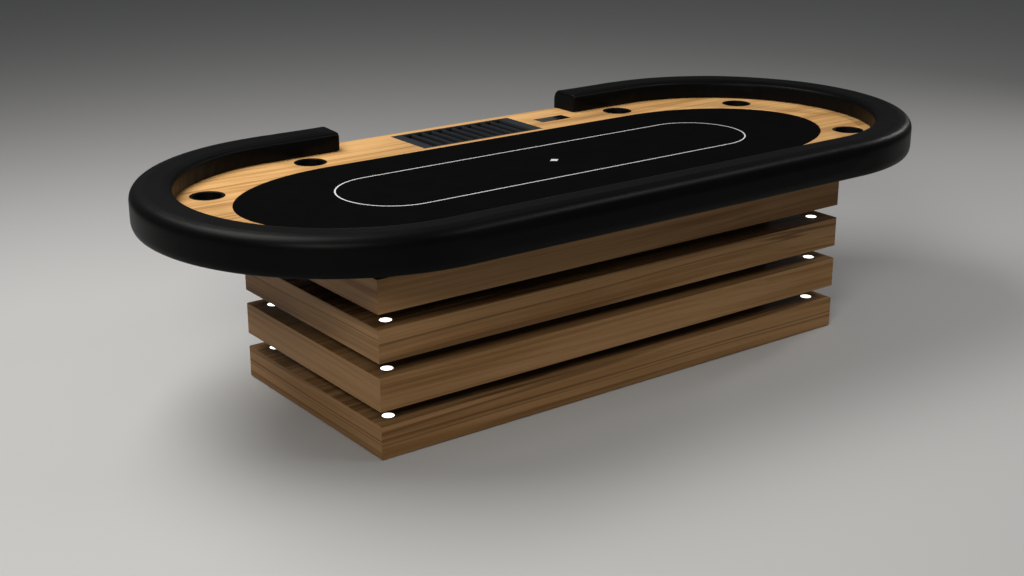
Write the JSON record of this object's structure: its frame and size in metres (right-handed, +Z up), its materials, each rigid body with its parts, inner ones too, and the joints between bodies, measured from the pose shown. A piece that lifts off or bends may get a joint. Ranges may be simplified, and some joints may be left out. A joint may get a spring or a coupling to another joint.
{
  "type": "gaming table",
  "caption": "Poker table with a C-shaped padded arm rail, wood racetrack with cup holders, cloth playfield, chip tray, drop slot and a stacked wood base with light pucks.",
  "frame": {"origin": "on the floor under the middle of the table", "axes": "+X along the table's length, +Y to the dealer's open side, +Z up"},
  "size_m": [2.932, 1.332, 0.7598],
  "materials": {
    "racetrack_wood": "clear satin lacquer over honey-coloured straight grain",
    "base_wood": "satin walnut-brown veneer, grain running along each side",
    "plywood": "bare plywood",
    "deck_paint": "matte black paint on board",
    "arm_leather": "fine-grained black leather, semi-gloss",
    "foam": "open-cell foam",
    "playfield_cloth": "matte black speed cloth with a thin white betting line",
    "cup_plastic": "smooth black",
    "tray_plastic": "satin dark grey",
    "chrome": "polished",
    "steel": "zinc plated",
    "box_paint": "black powder coat on sheet steel",
    "black_plastic": "moulded black plastic",
    "light_lens": "opal lens, lit",
    "foot_rubber": "matte",
    "cable": "flat cable jacket"
  },
  "bodies": {
    "table": {"table_deck": "deck_paint", "racetrack_panel": "racetrack_wood", "playfield_board": "plywood", "playfield_cloth": "playfield_cloth", "rail_core": "plywood", "rail_foam": "foam", "rail_cover": "arm_leather", "drop_slot_plate": "chrome", "drop_chute": "black_plastic", "drop_box_hanger": "steel", "base_riser": "deck_paint", "led_driver": "black_plastic", "led_harness": "cable", "power_inlet": "black_plastic", "base_tier_1_shell": "base_wood", "base_tier_2_shell": "base_wood", "base_tier_3_shell": "base_wood", "base_tier_4_shell": "base_wood", "base_tier_1_floor": "deck_paint", "base_tier_2_floor": "deck_paint", "base_tier_3_floor": "deck_paint", "base_tier_4_floor": "deck_paint", "base_spacer_1": "deck_paint", "base_spacer_2": "deck_paint", "base_spacer_3": "deck_paint", "light_puck_2_1": "light_lens", "light_puck_2_2": "light_lens", "light_puck_2_3": "light_lens", "light_puck_2_4": "light_lens", "light_puck_3_1": "light_lens", "light_puck_3_2": "light_lens", "light_puck_3_3": "light_lens", "light_puck_3_4": "light_lens", "light_puck_4_1": "light_lens", "light_puck_4_2": "light_lens", "light_puck_4_3": "light_lens", "light_puck_4_4": "light_lens", "tie_rod_1": "steel", "tie_rod_2": "steel", "tie_rod_3": "steel", "tie_rod_4": "steel"},
    "chip_tray": {"chip_tray": "tray_plastic"},
    "drop_box": {"drop_box": "box_paint"},
    "drop_box_door": {"drop_box_door": "box_paint"},
    "drop_box_lock": {"drop_box_lock": "chrome"},
    "rocker": {"rocker_switch": "black_plastic"},
    "cup_01": {"cup_holder_01": "cup_plastic"},
    "cup_02": {"cup_holder_02": "cup_plastic"},
    "cup_03": {"cup_holder_03": "cup_plastic"},
    "cup_04": {"cup_holder_04": "cup_plastic"},
    "cup_05": {"cup_holder_05": "cup_plastic"},
    "cup_06": {"cup_holder_06": "cup_plastic"},
    "cup_07": {"cup_holder_07": "cup_plastic"},
    "cup_08": {"cup_holder_08": "cup_plastic"},
    "cup_09": {"cup_holder_09": "cup_plastic"},
    "cup_10": {"cup_holder_10": "cup_plastic"},
    "foot_1": {"levelling_foot_1": "foot_rubber"},
    "foot_2": {"levelling_foot_2": "foot_rubber"},
    "foot_3": {"levelling_foot_3": "foot_rubber"},
    "foot_4": {"levelling_foot_4": "foot_rubber"}
  },
  "joints": [
    {"name": "cup_01_lift", "type": "slide", "parent": "table", "child": "cup_01", "axis": [0, 0, 1], "range_m": [0, 0.09]},
    {"name": "cup_02_lift", "type": "slide", "parent": "table", "child": "cup_02", "axis": [0, 0, 1], "range_m": [0, 0.09]},
    {"name": "cup_03_lift", "type": "slide", "parent": "table", "child": "cup_03", "axis": [0, 0, 1], "range_m": [0, 0.09]},
    {"name": "cup_04_lift", "type": "slide", "parent": "table", "child": "cup_04", "axis": [0, 0, 1], "range_m": [0, 0.09]},
    {"name": "cup_05_lift", "type": "slide", "parent": "table", "child": "cup_05", "axis": [0, 0, 1], "range_m": [0, 0.09]},
    {"name": "cup_06_lift", "type": "slide", "parent": "table", "child": "cup_06", "axis": [0, 0, 1], "range_m": [0, 0.09]},
    {"name": "cup_07_lift", "type": "slide", "parent": "table", "child": "cup_07", "axis": [0, 0, 1], "range_m": [0, 0.09]},
    {"name": "cup_08_lift", "type": "slide", "parent": "table", "child": "cup_08", "axis": [0, 0, 1], "range_m": [0, 0.09]},
    {"name": "cup_09_lift", "type": "slide", "parent": "table", "child": "cup_09", "axis": [0, 0, 1], "range_m": [0, 0.09]},
    {"name": "cup_10_lift", "type": "slide", "parent": "table", "child": "cup_10", "axis": [0, 0, 1], "range_m": [0, 0.09]},
    {"name": "chip_tray_lift", "type": "slide", "parent": "table", "child": "chip_tray", "axis": [0, 0, 1], "range_m": [0, 0.06]},
    {"name": "drop_box_slide", "type": "slide", "parent": "table", "child": "drop_box", "axis": [0, 1, 0], "range_m": [0, 0.2]},
    {"name": "drop_box_door_hinge", "type": "hinge", "parent": "drop_box", "child": "drop_box_door", "pos_m": [0.3115, 0.5865, 0.542], "axis": [0, 0, 1], "range_deg": [0, 110]},
    {"name": "drop_box_lock_turn", "type": "hinge", "parent": "drop_box_door", "child": "drop_box_lock", "pos_m": [0.434, 0.5865, 0.545], "axis": [0, 1, 0], "range_deg": [0, 90]},
    {"name": "rocker_tilt", "type": "hinge", "parent": "table", "child": "rocker", "pos_m": [-0.255, 0.4105, 0.062], "axis": [1, 0, 0], "range_deg": [0, 16]},
    {"name": "foot_1_height", "type": "slide", "parent": "table", "child": "foot_1", "axis": [0, 0, -1], "range_m": [0, 0.012]},
    {"name": "foot_2_height", "type": "slide", "parent": "table", "child": "foot_2", "axis": [0, 0, -1], "range_m": [0, 0.012]},
    {"name": "foot_3_height", "type": "slide", "parent": "table", "child": "foot_3", "axis": [0, 0, -1], "range_m": [0, 0.012]},
    {"name": "foot_4_height", "type": "slide", "parent": "table", "child": "foot_4", "axis": [0, 0, -1], "range_m": [0, 0.012]}
  ]
}
